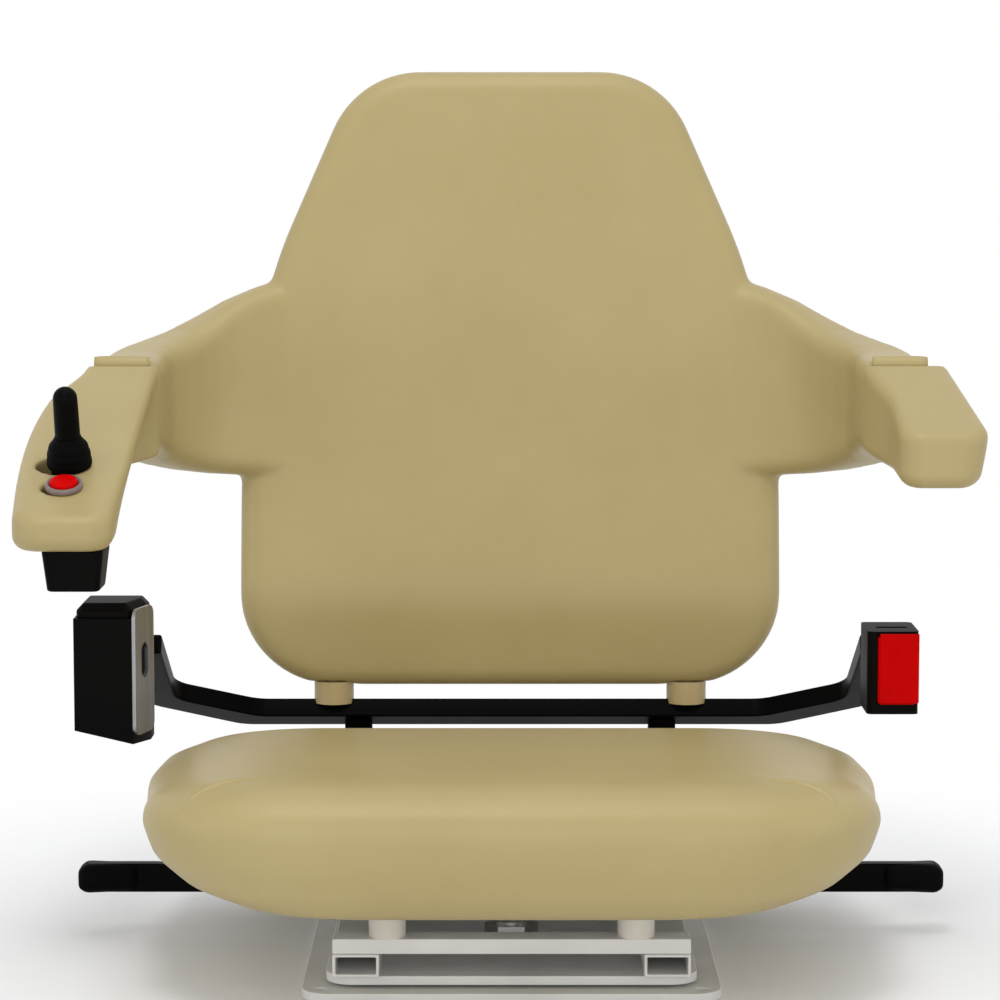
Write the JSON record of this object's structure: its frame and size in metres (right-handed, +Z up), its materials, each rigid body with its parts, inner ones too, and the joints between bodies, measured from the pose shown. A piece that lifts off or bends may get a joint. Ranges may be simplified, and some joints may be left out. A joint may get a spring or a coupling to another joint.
{
  "type": "stairlift chair",
  "caption": "Stairlift chair with a winged back, folding seat and armrests, lap belt, drive toggle, stop button and a latched swivel base.",
  "frame": {"origin": "middle of the swivel base's underside, where the chair bolts to its carriage", "axes": "+X towards the buckle side, -Y the way the chair faces, +Z up"},
  "size_m": [0.6169, 0.5069, 0.6],
  "materials": {
    "skin": "fine-grained skinned foam, satin",
    "grey_frame": "satin",
    "black_steel": "satin",
    "plain_steel": "satin",
    "black_plastic": "fine texture",
    "boot_rubber": "matt",
    "washer_plastic": "smooth",
    "beige_metal": "satin",
    "board": "raw",
    "red": "gloss",
    "ring": "satin"
  },
  "bodies": {
    "base": {"base_plate": "grey_frame", "swivel_spindle": "plain_steel", "thrust_washer": "washer_plastic", "spindle_nut": "plain_steel"},
    "seat": {"seat_pan": "grey_frame", "seat_cushion": "skin"},
    "arm_left": {"arm_core_left": "black_steel", "arm_pad_left": "skin", "toggle_switch": "black_plastic", "toggle_pin": "plain_steel", "toggle_boot": "boot_rubber", "stop_ring": "ring", "stop_contact": "black_plastic", "control_box": "black_plastic"},
    "arm_right": {"arm_core_right": "black_steel", "arm_pad_right": "skin"},
    "toggle": {"toggle_lever": "black_plastic"},
    "stop": {"stop_button": "red"},
    "lever_left": {"swivel_lever_left": "black_steel", "lever_grip_left": "black_plastic"},
    "lever_right": {"swivel_lever_right": "black_steel", "lever_grip_right": "black_plastic"},
    "latch": {"latch_pin": "plain_steel"},
    "buckle_press": {"buckle_button": "red"},
    "chair": {"arm_hinge_pin_left": "plain_steel", "arm_hinge_pin_right": "plain_steel", "back_board": "board", "back_cover": "black_plastic", "back_moulding": "skin", "back_post_left": "beige_metal", "back_post_right": "beige_metal", "bar_upright_left": "black_steel", "bar_upright_right": "black_steel", "belt_spool": "black_plastic", "buckle_body": "black_plastic", "crossbar": "black_steel", "frame_rail_left": "grey_frame", "frame_rail_right": "grey_frame", "front_cross_member": "grey_frame", "latch_guide": "washer_plastic", "latch_plate": "plain_steel", "lever_bracket_left": "grey_frame", "lever_bracket_right": "grey_frame", "lever_pin_left": "plain_steel", "lever_pin_right": "plain_steel", "rear_cross_member": "grey_frame", "retractor_cap": "black_plastic", "retractor_housing": "black_plastic", "seat_bumper_left": "boot_rubber", "seat_bumper_right": "boot_rubber", "seat_hinge_bracket_left": "grey_frame", "seat_hinge_bracket_right": "grey_frame", "seat_hinge_pin_left": "plain_steel", "seat_hinge_pin_right": "plain_steel", "swivel_plate": "grey_frame", "wing_bracket_left": "black_steel", "wing_bracket_right": "black_steel"}
  },
  "joints": [
    {"name": "swivel", "type": "hinge", "parent": "base", "child": "chair", "pos_m": [0, 0, 0], "axis": [0, 0, 1], "range_deg": [-90, 90]},
    {"name": "seat_fold", "type": "hinge", "parent": "chair", "child": "seat", "pos_m": [0, 0.168, 0.085], "axis": [-1, 0, 0], "range_deg": [0, 68]},
    {"name": "arm_left_fold", "type": "hinge", "parent": "chair", "child": "arm_left", "pos_m": [-0.266, 0.0704, 0.396], "axis": [-1, 0, 0], "range_deg": [0, 100]},
    {"name": "arm_right_fold", "type": "hinge", "parent": "chair", "child": "arm_right", "pos_m": [0.266, 0.0704, 0.396], "axis": [-1, 0, 0], "range_deg": [0, 100]},
    {"name": "toggle_tilt", "type": "hinge", "parent": "arm_left", "child": "toggle", "pos_m": [-0.284, -0.07403, 0.33302], "axis": [0, -0.9272, -0.3746], "range_deg": [-12, 12], "stiffness_Nm_per_rad": 0.5, "deforming": ["toggle_boot"]},
    {"name": "stop_press", "type": "slide", "parent": "arm_left", "child": "stop", "axis": [0, 0.3746, -0.9272], "range_m": [0, 0.003], "stiffness_N_per_m": 1500},
    {"name": "lever_left_drop", "type": "hinge", "parent": "chair", "child": "lever_left", "pos_m": [-0.1, 0.06, 0.036], "axis": [0, -1, 0], "range_deg": [-3.78, 0]},
    {"name": "lever_right_drop", "type": "hinge", "parent": "chair", "child": "lever_right", "pos_m": [0.1, 0.06, 0.036], "axis": [0, 1, 0], "range_deg": [-3.79, 0]},
    {"name": "latch_drop", "type": "slide", "parent": "chair", "child": "latch", "axis": [0, 0, 1], "range_m": [-0.0057, 0]},
    {"name": "buckle_release", "type": "slide", "parent": "chair", "child": "buckle_press", "axis": [0, 1, 0], "range_m": [0, 0.0035], "stiffness_N_per_m": 2000}
  ],
  "couplings": [
    {"joint": "lever_right_drop", "follows": "lever_left_drop", "ratio": 1},
    {"joint": "latch_drop", "follows": "lever_left_drop", "m_per_rad": 0.085}
  ]
}
